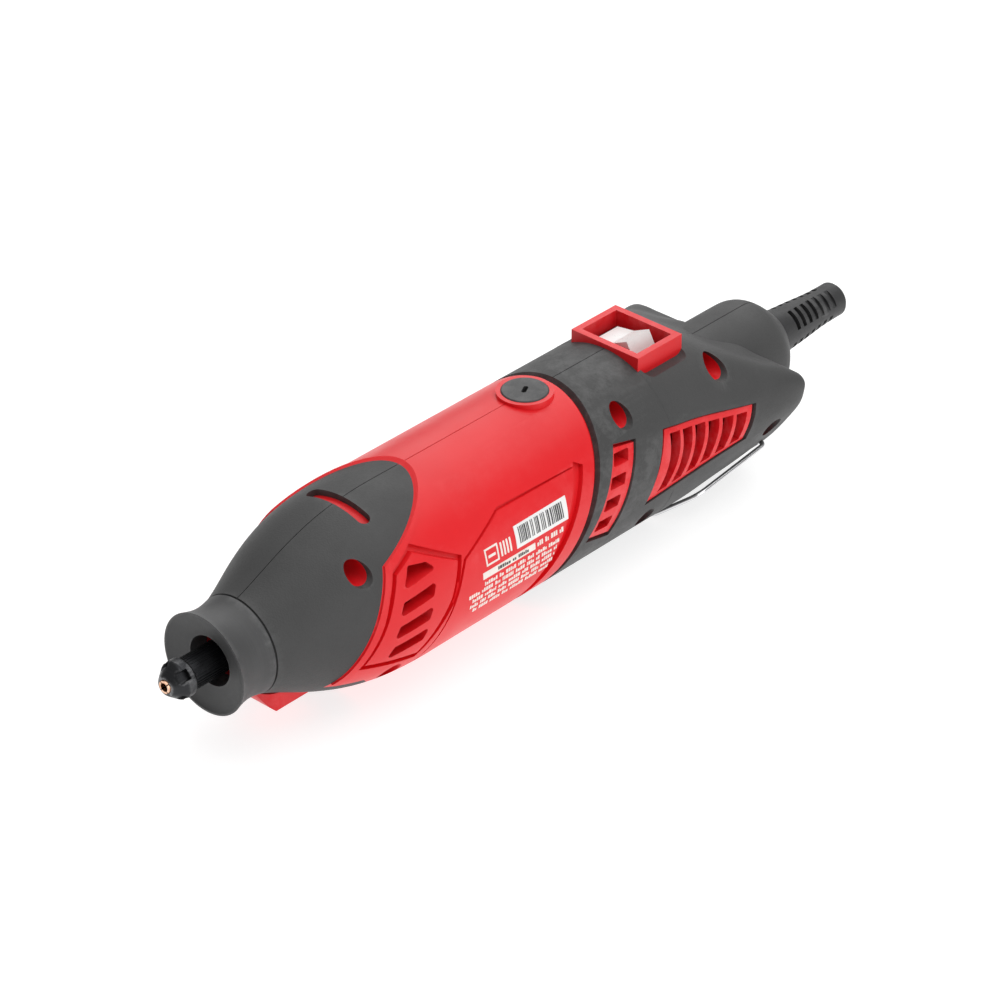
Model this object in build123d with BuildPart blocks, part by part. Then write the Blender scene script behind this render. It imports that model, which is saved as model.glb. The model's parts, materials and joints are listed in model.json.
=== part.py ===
from build123d import *
from math import cos, pi, radians, sin
import os

# Rotary hobby tool.  Millimetres, +X from the collet towards the cord, +Z up through the rocker switch,
# origin on the spindle axis at the mouth of the collet.  Left is -Y, right is +Y.

os.makedirs("parts", exist_ok=True)

# ---------------------------------------------------------------- driving dimensions
body_radius = 26.2            # barrel
grip_thickness = 1.7          # soft skin over the hard shell
wall = 3.4                    # shell and skin together
collar_face_x = 13.5          # front rim of the nose collar
collar_radius = 14.1
collar_hole_radius = 7.0
shell_front_x = 25.8          # where the collar meets the body
barrel_start_x = 85.5         # the nose taper ends here
tail_start_x = 171.5          # the barrel starts to flare here
tail_end_x = 211.5            # rear ridge of the flared tail
stub_radius = 15.0            # round stub behind the tail
stub_end_x = 233.0
boot_end_x = 263.5
tail_join_x = 163.5           # hidden change from the turned barrel to the lofted tail
tail_join_step = 0.03
running_gap = 0.05            # radial, between a shaft and its bore
seam_width = 0.22
seam_depth = 0.40

# tail end outline: faces of a soft-cornered polygon, as (direction in degrees, distance from the axis)
tail_ridge_height = 9.0
tail_half_width = 31.0
tail_flank = (-33.5, 24.9)
tail_heel = (-46.9, 24.9)
tail_shoulder = (52.0, 26.6)
tail_corner_sharpness = 24
tail_ramp_sharpness = 15      # how crisply the sloping top cuts the round flanks
tail_ramp_slope = 0.537       # fall of the sloping top, per mm along X, towards the ridge

# spindle and motor, along X
collet_bore_radius = 1.2      # takes a 2.4 mm shank
collet_radius = 2.1
collet_length = 19.0
nut_radius = 5.2
nut_front_x = 0.4
nut_head_end_x = 6.8
nut_body_radius = 4.45
nut_end_x = 18.6
spindle_thread_radius = 3.5
spindle_radius = 4.0
lock_x = 38.5                 # spindle-lock cross holes
lock_hole_radius = 2.1
lock_pin_radius = 1.9
lock_shelf_z = (-9.8, -8.0)   # the return spring bears on this shelf
lock_button_middle_x = 38.6
lock_button_length = 19.6
bearing_width = 6.0
spindle_bearing_radius = 9.5
motor_shaft_radius = 3.0
motor_bearing_radius = 8.0
front_bearing_x = 27.5
rear_bearing_x = 47.0
motor_front_bearing_x = 66.0
motor_rear_bearing_x = 142.0
fan_x = 73.0
core_x = (90.0, 116.0)
brush_x = 131.6
commutator_radius = 8.0
stator_radius = 21.6
stator_bore_radius = 14.4
field_yoke_radius = 17.2

# switch
bezel_x = (163.3, 181.3)
bezel_half_width = 11.75
bezel_top_z = 27.5
bezel_wall = 2.0
rocker_pivot_z = 21.0
rocker_swing = 34.0
rocker_width = 9.2            # along X
rocker_reach = 5.8            # half length at the top edge
rocker_foot = 6.8             # half length lower down
bezel_scoop_radius = 7.0      # the grip dips beside the bezel
bezel_scoop_depth = 1.5

# brush caps
cap_radius = 6.35
cap_boss_radius = 7.7
cap_boss_z = 27.0
cap_top_z = 27.3
cap_seat_z = 22.4
cap_slot_turn = 27.0          # degrees from the spindle axis
holder_radius = 5.4

# hanging bail
bail_pivot = (207.5, -15.0)   # X, Z
bail_half_width = 20.95
bail_reach_x = 171.0
bail_wire_radius = 0.7
bail_end_z = -25.3

# housing screws: X, Z of each, all along Y
screw_spots = [(51.0, 16.0), (149.3, 18.6), (186.6, 17.7), (204.3, -6.3), (155.1, -14.0), (59.5, -16.8)]
screw_hole_radius = 3.1
screw_seat_y = -6.0
screw_radius = 1.5


def save(piece, label):
    """Name a finished piece and write it out."""
    piece.label = label
    export_step(piece, f"parts/{label}.step")


# ---------------------------------------------------------------- shared shapes
def tail_outline_radius(angle, inset):
    """Distance from the axis to the tail's rear outline without its flat top: a polygon with soft corners."""
    faces = [(0, tail_half_width), (180, tail_half_width), (-90, body_radius)]
    for direction, distance in (tail_flank, tail_heel, tail_shoulder):
        faces.append((direction, distance))
        faces.append((180 - direction, distance))
    total = 0.0
    for direction, distance in faces:
        lean = cos(radians(angle - direction))
        if lean > 0:
            total += (lean / (distance - inset)) ** tail_corner_sharpness
    return total ** (-1.0 / tail_corner_sharpness)


def tail_blend(x):
    """0 where the tail is still the round barrel, 1 at the rear ridge; straight after a short ease-in."""
    ease = 0.14
    t = max(0.0, (x - tail_start_x) / (tail_end_x - tail_start_x))
    if t < ease:
        return t * t / (2 * ease) / (1 - ease / 2)
    return (t - ease / 2) / (1 - ease / 2)


def tail_section_points(x, inset):
    """Points round the tail's section at x: a flaring tube, its top cut off by a slope to the ridge."""
    blend = tail_blend(x)
    barrel = body_radius + tail_join_step - inset
    slope_z = tail_ridge_height + (tail_end_x - x) * tail_ramp_slope - inset
    right_side = [-90, -74, -60, -47, -35, -22, -9, 2, 9, 13, 16, 19, 23, 29, 36, 44, 53, 65, 77]
    left_side = [180 - angle for angle in reversed(right_side[1:])]
    points = []
    for angle in right_side + [90] + left_side:
        radius = (1 - blend) * barrel + blend * tail_outline_radius(angle, inset)
        lean = sin(radians(angle))
        if lean > 0 and x >= tail_start_x:
            closeness = (radius * lean / slope_z) ** tail_ramp_sharpness
            radius = radius * (1 + closeness) ** (-1.0 / tail_ramp_sharpness)
        points.append((radius * cos(radians(angle)), radius * sin(radians(angle))))
    return points


def barrel_form(inset):
    """The turned nose and barrel pulled in by inset."""
    nose_points = [
        (shell_front_x, 13.7 - inset),
        (37.5, 18.8 - inset),
        (53.5, 24.3 - inset),
        (66.0, 26.0 - inset),
        (barrel_start_x, body_radius - inset),
    ]
    with BuildPart() as form:
        with BuildSketch(Plane.XZ):
            with BuildLine():
                Spline(*nose_points, tangents=[(1, 0.36), (1, 0)])
                Polyline(
                    nose_points[-1],
                    (tail_join_x + 1, body_radius - inset),
                    (tail_join_x + 1, 0),
                    (shell_front_x, 0),
                    nose_points[0],
                )
            make_face()
        revolve(axis=Axis.X)
    return form.part


def body_form(inset):
    """The body's outside form pulled in by inset: turned nose and barrel, lofted tail, round stub."""
    with BuildPart() as form:
        add(barrel_form(inset))
        for x in (tail_join_x, tail_start_x, 176.0, 183.0, 191.0, 201.0, tail_end_x - inset):
            with BuildSketch(Plane.YZ.offset(x)):
                with BuildLine():
                    Spline(*tail_section_points(x, inset), periodic=True)
                make_face()
        loft()
        with BuildSketch(Plane.XZ):
            with BuildLine():
                radius = stub_radius - inset
                end_x = stub_end_x - inset
                Polyline((200, 0), (200, radius), (end_x - 12.5, radius))
                Spline(
                    (end_x - 12.5, radius),
                    (end_x - 7.5, radius - 0.65),
                    (end_x - 3.5, radius - 3.5),
                    (end_x, 8.0 - inset),
                    tangents=[(1, 0), (0.75, -1)],
                )
                Polyline((end_x, 8.0 - inset), (end_x, 0), (200, 0))
            make_face()
        revolve(axis=Axis.X)
    return form.part


def side_prism(points, y_from, y_to):
    """A prism whose outline is drawn in side view (X, Z) and which runs from y_from to y_to."""
    with BuildPart() as prism:
        with BuildSketch(Plane.XZ.offset(-y_to)):
            with BuildLine():
                Polyline(*points, close=True)
            make_face()
        extrude(amount=y_to - y_from)
    return prism.part


def turned(points):
    """A solid turned about the spindle axis from its (X, radius) outline."""
    with BuildPart() as piece:
        with BuildSketch(Plane.XZ):
            with BuildLine():
                Polyline(*points, close=True)
            make_face()
        revolve(axis=Axis.X)
    return piece.part


def cylinder_along(plane, radius, length):
    """A plain round bar that starts on plane and runs along its normal."""
    with BuildPart() as bar:
        with BuildSketch(plane):
            Circle(radius)
        extrude(amount=length)
    return bar.part


def cut_box(x_range, y_range, z_range):
    """A block between the given limits."""
    with BuildPart() as block:
        with BuildSketch(Plane.XY.offset(z_range[0])):
            with Locations(((x_range[0] + x_range[1]) / 2, (y_range[0] + y_range[1]) / 2)):
                Rectangle(x_range[1] - x_range[0], y_range[1] - y_range[0])
        extrude(amount=z_range[1] - z_range[0])
    return block.part


def across(x, z, y):
    """A plane facing +Y through (x, y, z)."""
    return Plane(origin=(x, y, z), x_dir=(1, 0, 0), z_dir=(0, 1, 0))


def upright(x, z):
    """A plane facing +Z through (x, 0, z)."""
    return Plane(origin=(x, 0, z), x_dir=(1, 0, 0), z_dir=(0, 0, 1))


# ---------------------------------------------------------------- outlines in side view (X, Z)
nose_zone_outline = [
    (10, 32), (92, 29.4), (57.5, 16.1), (53.3, 9.0), (42.5, -10.8), (40.5, -14.0),
    (44, -15.0), (51.5, -15.8), (55.5, -20), (56.5, -32), (10, -32),
]
zone_edge = ((142.6, 28.4), (113.0, -28.4))
front_vent_outline = [(48.4, -8.2), (57.2, 8.4), (60.0, 13.2), (67.0, 16.2),
                      (79.4, 9.6), (75.0, 0.6), (65.5, -12.0)]
label_outline = [(126.4, 14.6), (97.3, 14.8), (82.2, 8.6), (80.6, 6.2), (68.0, -18.0), (105.6, -18.8)]
small_vent_outline = [(141.8, 13.6), (149.4, 12.4), (138.2, -9.6), (128.8, -7.2)]
big_vent_outline = [(161.2, 11.2), (192.8, 6.8), (191.0, -3.8), (152.4, -6.8)]
REACH = 40


def grown(points, amount):
    """The outline moved outward by amount along its corner directions from its own centre."""
    centre_x = sum(p[0] for p in points) / len(points)
    centre_z = sum(p[1] for p in points) / len(points)
    moved = []
    for x, z in points:
        dx = x - centre_x
        dz = z - centre_z
        size = (dx * dx + dz * dz) ** 0.5
        moved.append((x + amount * dx / size, z + amount * dz / size))
    return moved


# ---------------------------------------------------------------- body forms
outer = body_form(0)
under_grip = body_form(grip_thickness)
cavity = body_form(wall)
seam_floor = body_form(seam_depth)
window_face = body_form(0.5)
notch_floor = body_form(2.2)

nose_zone = side_prism(nose_zone_outline, -REACH, REACH)
tail_zone = side_prism([zone_edge[0], (290, 60), (290, -60), zone_edge[1]], -REACH, REACH)
skin = outer - under_grip

bezel_block = cut_box(bezel_x, (-bezel_half_width, bezel_half_width), (17.0, bezel_top_z))
bezel_hole = cut_box(
    (bezel_x[0] + bezel_wall, bezel_x[1] - bezel_wall),
    (-bezel_half_width + bezel_wall, bezel_half_width - bezel_wall),
    (10.0, bezel_top_z + 1),
)
seam_slot = cut_box((15, 235), (-seam_width / 2, seam_width / 2), (-40, 40)) & (outer - seam_floor)


# ---------------------------------------------------------------- housing halves
def screw_column(x, z, radius, y_from, y_to):
    """A round column along Y at a housing screw."""
    return cylinder_along(across(x, z, y_from), radius, y_to - y_from)


def rooms():
    """The hollow spaces inside the body, between the webs that hold the bearings."""
    with BuildPart() as hollow:
        for x_from, x_to in ((35.5, 45.5), (54.5, 64.5), (73.0, 140.5), (149.5, 209.0)):
            with BuildSketch(Plane.YZ.offset(x_from)):
                Circle(36)
            extrude(amount=x_to - x_from)
        add(cavity, mode=Mode.INTERSECT)
        add(turned([(207, 0), (207, stub_radius - wall), (224, stub_radius - wall), (224, 0)]))
        for x, z in screw_spots:
            add(screw_column(x, z, screw_hole_radius + 1.6, -REACH, 14), mode=Mode.SUBTRACT)
        for z_from in (13.5, -36.0):
            add(cylinder_along(upright(brush_x, z_from), cap_boss_radius, 22.5), mode=Mode.SUBTRACT)
        add(cut_box((35, 46), (-12, 12), lock_shelf_z), mode=Mode.SUBTRACT)
        for y in (-6.2, 6.2):
            post = Plane(origin=(216, y, -14), x_dir=(1, 0, 0), z_dir=(0, 0, 1))
            add(cylinder_along(post, 2.6, 17), mode=Mode.SUBTRACT)
        for x_from in (64.0, 140.0):
            with BuildSketch(Plane.YZ.offset(x_from)):
                with PolarLocations(15.0, 6):
                    Circle(3.0)
            extrude(amount=10)
        add(cylinder_along(upright(lock_x, -12), lock_pin_radius + 0.1, 8))
        for y in (-6.2, 6.2):
            add(cylinder_along(Plane(origin=(216, y, -5.5), x_dir=(1, 0, 0), z_dir=(0, 0, 1)), 1.3, 9))
    return hollow.part


def axle_bore():
    """Everything cleared along the spindle axis: nose bore, bearing seats, shaft holes."""
    with BuildPart() as bore:
        steps = [
            (10, front_bearing_x, 7.4),
            (front_bearing_x, front_bearing_x + bearing_width, spindle_bearing_radius),
            (front_bearing_x + bearing_width, rear_bearing_x, 7.0),
            (rear_bearing_x, rear_bearing_x + bearing_width, spindle_bearing_radius),
            (rear_bearing_x + bearing_width, motor_front_bearing_x, 7.0),
            (motor_front_bearing_x, motor_front_bearing_x + bearing_width, motor_bearing_radius),
            (motor_front_bearing_x + bearing_width, motor_rear_bearing_x, 6.0),
            (motor_rear_bearing_x, motor_rear_bearing_x + bearing_width, motor_bearing_radius),
            (motor_rear_bearing_x + bearing_width, 152.0, 5.0),
            (222.0, 240.0, 7.2),
        ]
        for x_from, x_to, radius in steps:
            with BuildSketch(Plane.YZ.offset(x_from)):
                Circle(radius)
            extrude(amount=x_to - x_from)
    return bore.part


def vent_slots():
    """The openings of the nose vent: slanted slots one above another, the top one a rounded triangle."""
    with BuildPart() as slots:
        for x, z in ((64.3, 5.4), (62.4, -0.6), (60.9, -6.4)):
            with BuildSketch(Plane.XZ.offset(-REACH)) as one:
                with BuildLine():
                    Polyline((x - 6.6, z - 2.4), (x + 4.9, z - 1.0), (x + 6.6, z + 2.5),
                             (x - 4.7, z + 1.1), close=True)
                make_face()
                fillet(one.vertices(), 0.8)
            extrude(amount=2 * REACH)
        with BuildSketch(Plane.XZ.offset(-REACH)) as uppermost:
            with BuildLine():
                Polyline((60.4, 9.3), (72.0, 10.8), (69.6, 13.2), (64.0, 14.2), close=True)
            make_face()
            fillet(uppermost.vertices(), 0.7)
        extrude(amount=2 * REACH)
    return slots.part


def small_vent_slots():
    """Four openings down the small vent behind the barrel."""
    with BuildPart() as slots:
        for i in range(4):
            drop = 1.9 + 5.25 * i
            x = 144.8 - 0.56 * drop
            z = 12.6 - drop
            with BuildSketch(Plane.XZ.offset(-REACH)) as one:
                with BuildLine():
                    Polyline((x - 3.8, z - 1.4), (x + 1.9, z - 1.7), (x + 3.3, z + 1.3),
                             (x - 2.3, z + 1.6), close=True)
                make_face()
                fillet(one.vertices(), 0.4)
            extrude(amount=2 * REACH)
    return slots.part


def big_vent_slots():
    """Six slanting, bowed openings along the tail vent."""
    count = 6
    with BuildPart() as slots:
        for i in range(count):
            share = (i + 0.5) / count
            top_x = 162.2 + 29.2 * share
            low_x = 155.4 + 34.8 * share
            top_z = 9.9 - 4.4 * share
            low_z = -5.6 + 2.6 * share
            width = 3.75
            bow = 1.3 * (1 - share)
            with BuildSketch(Plane.XZ.offset(-REACH)):
                with BuildLine():
                    middle_x = (top_x + low_x) / 2
                    middle_z = (top_z + low_z) / 2
                    ThreePointArc((low_x - width / 2, low_z), (middle_x - width / 2 + bow, middle_z),
                                  (top_x - width / 2, top_z))
                    Line((top_x - width / 2, top_z), (top_x + width / 2, top_z - 0.4))
                    ThreePointArc((top_x + width / 2, top_z - 0.4), (middle_x + width / 2 + bow, middle_z),
                                  (low_x + width / 2, low_z + 0.2))
                    Line((low_x + width / 2, low_z + 0.2), (low_x - width / 2, low_z))
                make_face()
            extrude(amount=2 * REACH)
    return slots.part


slots = vent_slots() + small_vent_slots() + big_vent_slots()
slots -= cut_box((0, 260), (-9, 9), (-40, 40))


def button_block(clearance, z_range):
    """The upright prism of the lock button, or of its opening, with rounded ends."""
    with BuildPart() as block:
        with BuildSketch(Plane.XY.offset(z_range[0])):
            with Locations((lock_button_middle_x, 0)):
                RectangleRounded(lock_button_length + 2 * clearance, 13.0 + 2 * clearance, 5.0 + clearance)
        extrude(amount=z_range[1] - z_range[0])
    return block.part


def grip_scoops():
    """Shallow troughs in the grip along both sides of the switch bezel."""
    with BuildPart() as scoops:
        foot_z = (body_radius ** 2 - bezel_half_width ** 2) ** 0.5 - bezel_scoop_depth
        for side in (1, -1):
            with BuildSketch(Plane.YZ.offset(bezel_x[0] + 1.0)):
                with Locations((side * (bezel_half_width + 1.6), foot_z + bezel_scoop_radius - 0.4)):
                    Circle(bezel_scoop_radius)
            extrude(amount=bezel_x[1] - bezel_x[0] - 0.5)
        fillet(scoops.edges().filter_by(GeomType.CIRCLE), 3.0)
    return scoops.part


button_opening = button_block(0.4, (-40, -12))
bail_notch = side_prism([(166, -32), (166, -23.9), (176.5, -23.6), (176.5, -32)], -REACH, REACH)
bail_notch = bail_notch & cut_box((150, 180), (-40, 40), (-40, -12)) & (outer - notch_floor)
bail_holes = Part() + [
    cylinder_along(across(bail_pivot[0], bail_pivot[1], y_from), bail_wire_radius + 0.1, 24)
    for y_from in (-REACH, REACH - 24)
]
with BuildPart() as top_slot:
    with BuildSketch(upright(61.6, 18)):
        SlotOverall(21.0, 3.6, rotation=90)
    extrude(amount=22)

bores = [axle_bore(), bezel_hole, button_opening]
for side in (1, -1):
    z_from = 5.0 if side > 0 else -REACH
    bores.append(cylinder_along(upright(brush_x, z_from), holder_radius + running_gap, REACH - 5.0))
    z_from = cap_seat_z if side > 0 else -REACH
    bores.append(cylinder_along(upright(brush_x, z_from), cap_radius + 0.1, REACH - cap_seat_z))
for x, z in screw_spots:
    bores.append(screw_column(x, z, screw_hole_radius, -REACH, screw_seat_y))
    bores.append(screw_column(x, z, screw_radius + 0.15, screw_seat_y, 0))
    bores.append(screw_column(x, z, screw_radius, 0, 12.5))
screw_mouths = [screw_column(x, z, screw_hole_radius, -REACH, 0) for x, z in screw_spots]

window_prisms = side_prism(small_vent_outline, -REACH, REACH) + side_prism(big_vent_outline, -REACH, REACH)

with BuildPart() as housing:
    add(outer)
    add([skin & nose_zone, (skin & tail_zone) - window_prisms], mode=Mode.SUBTRACT)
    add((outer - window_face) & window_prisms, mode=Mode.SUBTRACT)
    add(turned([(21.6, 7.4), (21.6, 9.3), (26.5, 9.3), (26.5, 7.4)]))
    add(bezel_block)
    for z_from in (20.0, -cap_boss_z):
        add(cylinder_along(upright(brush_x, z_from), cap_boss_radius, cap_boss_z - 20.0))
    add(rooms(), mode=Mode.SUBTRACT)
    add(Part() + bores, mode=Mode.SUBTRACT)
    add([slots, seam_slot], mode=Mode.SUBTRACT)

# ---------------------------------------------------------------- surface details of the hard shell
def groove(outline, width, depth):
    """A groove of the given depth that follows an outline on the body's side."""
    ring = side_prism(grown(outline, width), -REACH, REACH) - side_prism(outline, -REACH, REACH)
    return (barrel_form(-2) - barrel_form(depth)) & ring


def strip(points, width, inset_out, inset_in):
    """A band of body surface that runs along an open side-view line."""
    with BuildPart() as band:
        with BuildSketch(Plane.XZ.offset(-REACH)):
            with BuildLine() as path:
                Polyline(*points)
            trace(path.line, line_width=width)
        extrude(amount=2 * REACH)
    return band.part & (barrel_form(inset_out) - barrel_form(inset_in))


nose_rim = strip([(86.5, 28.4), (58.6, 15.7), (54.5, 8.6), (43.6, -11.4), (42.0, -13.2)], 2.0, -0.6, 0.6)
nose_rim = nose_rim - nose_zone
vent_groove = groove(front_vent_outline, 1.9, 1.2)
label_groove = groove(label_outline, 0.9, 0.7)
label_step = strip([(128.4, 15.0), (107.4, -19.5)], 3.2, -2, 1.3)
zone_groove = strip([zone_edge[0], zone_edge[1]], 2.1, -2, 1.85)

with BuildPart() as shell:
    add(housing.part)
    add(nose_rim)
    add([vent_groove, label_groove, label_step, zone_groove], mode=Mode.SUBTRACT)
    add([bail_notch, bail_holes], mode=Mode.SUBTRACT)

save(split(shell.part, bisect_by=Plane.XZ, keep=Keep.TOP), "housing_left")
save(split(shell.part, bisect_by=Plane.XZ, keep=Keep.BOTTOM), "housing_right")

# ---------------------------------------------------------------- soft grips
with BuildPart() as nose_grip:
    add(skin & nose_zone)
    add([nose_rim, button_opening, top_slot.part, seam_slot], mode=Mode.SUBTRACT)
    add(screw_mouths, mode=Mode.SUBTRACT)
    add(cylinder_along(Plane.YZ.offset(15), 9.4, 15), mode=Mode.SUBTRACT)

save(split(nose_grip.part, bisect_by=Plane.XZ, keep=Keep.TOP), "nose_grip_left")
save(split(nose_grip.part, bisect_by=Plane.XZ, keep=Keep.BOTTOM), "nose_grip_right")

pockets = []
for outline in (small_vent_outline, big_vent_outline):
    pockets.append(side_prism(grown(outline, 1.1), -REACH, -9))
    pockets.append(side_prism(grown(outline, 1.1), 9, REACH))
cap_bosses = [cylinder_along(upright(brush_x, z_from), cap_boss_radius, 22.5) for z_from in (13.5, -36.0)]
with BuildPart() as tail_grip:
    add(skin & tail_zone)
    add([zone_groove, bezel_block + bezel_hole, seam_slot], mode=Mode.SUBTRACT)
    add(grip_scoops(), mode=Mode.SUBTRACT)
    add([bail_notch, bail_holes], mode=Mode.SUBTRACT)
    add(pockets + screw_mouths + cap_bosses, mode=Mode.SUBTRACT)
    add(cylinder_along(Plane.YZ.offset(220), 7.2, 20), mode=Mode.SUBTRACT)

save(split(tail_grip.part, bisect_by=Plane.XZ, keep=Keep.TOP), "tail_grip_left")
save(split(tail_grip.part, bisect_by=Plane.XZ, keep=Keep.BOTTOM), "tail_grip_right")

# ---------------------------------------------------------------- nose: collar, seal ring, nut, collet
with BuildPart() as nose_collar:
    with BuildSketch(Plane.XZ):
        with BuildLine():
            rim = (collar_face_x, collar_radius)
            rear = (shell_front_x - 0.6, 13.6)
            Spline(rim, (20.0, 12.9), rear, tangents=[(1, -0.32), (1, 0.22)])
            hole_edge = (collar_face_x + 2.1, collar_hole_radius)
            Polyline(rear, (shell_front_x - 0.6, 9.45), (21.3, 9.45), (21.3, collar_hole_radius), hole_edge)
            Spline(hole_edge, (collar_face_x + 1.6, 9.4), (collar_face_x, collar_radius - 0.5),
                   tangents=[(-0.12, 1), (-0.75, 1)])
            Line((collar_face_x, collar_radius - 0.5), rim)
        make_face()
    revolve(axis=Axis.X)
save(nose_collar.part, "nose_collar")

save(turned([(25.2, 11.0), (25.2, 13.3), (25.75, 13.3), (25.75, 11.0)]), "collar_seal_ring")

with BuildPart() as collet_nut:
    thread_radius = spindle_thread_radius + 0.06
    with BuildSketch(Plane.XZ):
        with BuildLine():
            Polyline(
                (nut_front_x, 1.95), (nut_front_x, 2.5), (0.9, 3.0), (3.4, nut_radius - 0.35), (4.1, nut_radius),
                (nut_head_end_x - 0.6, nut_radius), (nut_head_end_x, nut_radius - 0.4),
                (nut_head_end_x, nut_body_radius), (nut_end_x - 0.4, nut_body_radius),
                (nut_end_x, nut_body_radius - 0.3), (nut_end_x, thread_radius), (7.0, thread_radius), (6.0, 2.9),
                (4.2, 2.75), close=True,
            )
        make_face()
    revolve(axis=Axis.X)
    with BuildSketch(Plane.YZ.offset(1.4)):
        with PolarLocations(nut_radius, 4, start_angle=48):
            RectangleRounded(2.7, 2.9, 0.5)
    extrude(amount=3.6, mode=Mode.SUBTRACT)
    with BuildSketch(Plane.YZ.offset(nut_head_end_x)):
        with PolarLocations(nut_body_radius + 0.05, 34):
            Rectangle(0.4, 0.36)
    extrude(amount=nut_end_x - nut_head_end_x - 0.6, mode=Mode.SUBTRACT)
save(collet_nut.part, "collet_nut")

with BuildPart() as collet:
    with BuildSketch(Plane.XZ):
        with BuildLine():
            Polyline(
                (0, collet_bore_radius), (0, 1.75), (0.5, 1.88), (4.2, 2.68), (5.6, collet_radius),
                (collet_length, collet_radius), (collet_length, collet_bore_radius), close=True,
            )
        make_face()
    revolve(axis=Axis.X)
    with BuildSketch(Plane.YZ):
        for angle in (45, 135):
            with Locations(Location((0, 0), angle)):
                Rectangle(8, 0.3)
    extrude(amount=13.0, mode=Mode.SUBTRACT)
save(collet.part, "collet")

# ---------------------------------------------------------------- spindle and its bearings
with BuildPart() as spindle:
    with BuildSketch(Plane.XZ):
        with BuildLine():
            Polyline(
                (7.4, collet_radius + 0.08), (7.4, 3.2), (8.0, spindle_thread_radius), (19.0, spindle_thread_radius),
                (19.0, 4.3), (22.0, 4.8), (front_bearing_x - 0.2, 4.8), (front_bearing_x - 0.2, spindle_radius),
                (57.5, spindle_radius), (57.5, 0), (22.0, 0), (21.0, collet_radius + 0.08), close=True,
            )
        make_face()
    revolve(axis=Axis.X)
    for direction in ((0, 1, 0), (0, 0, 1)):
        hole_plane = Plane(origin=(lock_x, 0, 0), x_dir=(1, 0, 0), z_dir=direction)
        with BuildSketch(hole_plane):
            Circle(lock_hole_radius)
        extrude(amount=6, both=True, mode=Mode.SUBTRACT)
save(spindle.part, "spindle")


def bearing(x, outside, inside, label):
    """A ball bearing as two nodes: the outer ring, and the inner ring with its balls."""
    middle = x + bearing_width / 2
    track = (outside + inside) / 2
    ball = (outside - inside) * 0.22
    land = (outside - inside) * 0.26
    with BuildPart() as outer_ring:
        add(turned([(x, outside - land), (x, outside),
                    (x + bearing_width, outside), (x + bearing_width, outside - land)]))
        with BuildSketch(Plane.XZ):
            with Locations((middle, track)):
                Circle(ball + 0.08)
        revolve(axis=Axis.X, mode=Mode.SUBTRACT)
    save(outer_ring.part, label + "_outer_ring")
    with BuildPart() as inner_ring:
        add(turned([(x, inside), (x, inside + land),
                    (x + bearing_width, inside + land), (x + bearing_width, inside)]))
        with BuildSketch(Plane.XZ):
            with Locations((middle, track)):
                Circle(ball + 0.08)
        revolve(axis=Axis.X, mode=Mode.SUBTRACT)
    balls = []
    for i in range(8):
        angle = 2 * pi * i / 8
        balls.append(Pos(middle, track * cos(angle), track * sin(angle)) * Sphere(ball))
    save(Compound(children=[inner_ring.part] + balls), label + "_inner_ring")


bearing(front_bearing_x, spindle_bearing_radius, spindle_radius, "spindle_front_bearing")
bearing(rear_bearing_x, spindle_bearing_radius, spindle_radius, "spindle_rear_bearing")
bearing(motor_front_bearing_x, motor_bearing_radius, motor_shaft_radius, "motor_front_bearing")
bearing(motor_rear_bearing_x, motor_bearing_radius, motor_shaft_radius, "motor_rear_bearing")

# ---------------------------------------------------------------- rotor
save(turned([(55.0, spindle_radius), (55.0, 6.2), (63.5, 6.2),
             (63.5, motor_shaft_radius), (58.0, motor_shaft_radius),
             (58.0, 3.9), (57.5, 3.9), (57.5, spindle_radius)]), "drive_coupling")
save(turned([(58.3, 0), (58.3, motor_shaft_radius), (149.5, motor_shaft_radius), (149.5, 0)]), "motor_shaft")

with BuildPart() as cooling_fan:
    add(turned([(fan_x, motor_shaft_radius), (fan_x, 6), (fan_x + 9, 6), (fan_x + 9, motor_shaft_radius)]))
    add(turned([(fan_x + 7.8, 5), (fan_x + 7.8, 20.5), (fan_x + 9, 20.5), (fan_x + 9, 5)]))
    with BuildSketch(Plane.YZ.offset(fan_x + 1.5)):
        with PolarLocations(12.8, 11):
            Rectangle(14.4, 1.0)
    extrude(amount=6.4)
save(cooling_fan.part, "cooling_fan")

core_length = core_x[1] - core_x[0]
core_radius = 13.7
slot_count = 12
with BuildPart() as armature_core:
    with BuildSketch(Plane.YZ.offset(core_x[0])):
        Circle(core_radius)
        Circle(motor_shaft_radius, mode=Mode.SUBTRACT)
        with PolarLocations(10.2, slot_count):
            Rectangle(4.2, 2.6, mode=Mode.SUBTRACT)
        with PolarLocations(12.9, slot_count):
            Rectangle(3.0, 1.1, mode=Mode.SUBTRACT)
    extrude(amount=core_length)
save(armature_core.part, "armature_core")

with BuildPart() as armature_windings:
    add(turned([(85.5, 5.5), (85.5, 11.5), (87.0, 12.6), (core_x[0], 12.6), (core_x[0], 5.5)]))
    add(turned([(core_x[1], 5.5), (core_x[1], 12.6), (119.0, 12.6), (121.0, 11.0), (121.0, 5.5)]))
    with BuildSketch(Plane.YZ.offset(core_x[0])):
        with PolarLocations(10.1, slot_count):
            Rectangle(3.8, 2.3)
    extrude(amount=core_length)
save(armature_windings.part, "armature_windings")

with BuildPart() as commutator:
    add(turned([(123.0, motor_shaft_radius), (123.0, 8.9), (125.4, 8.9), (125.4, commutator_radius),
                (138.5, commutator_radius), (138.5, motor_shaft_radius)]))
    with BuildSketch(Plane.YZ.offset(122)):
        with PolarLocations(8.5, 24):
            Rectangle(2.6, 0.45)
    extrude(amount=18, mode=Mode.SUBTRACT)
save(commutator.part, "commutator")


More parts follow.
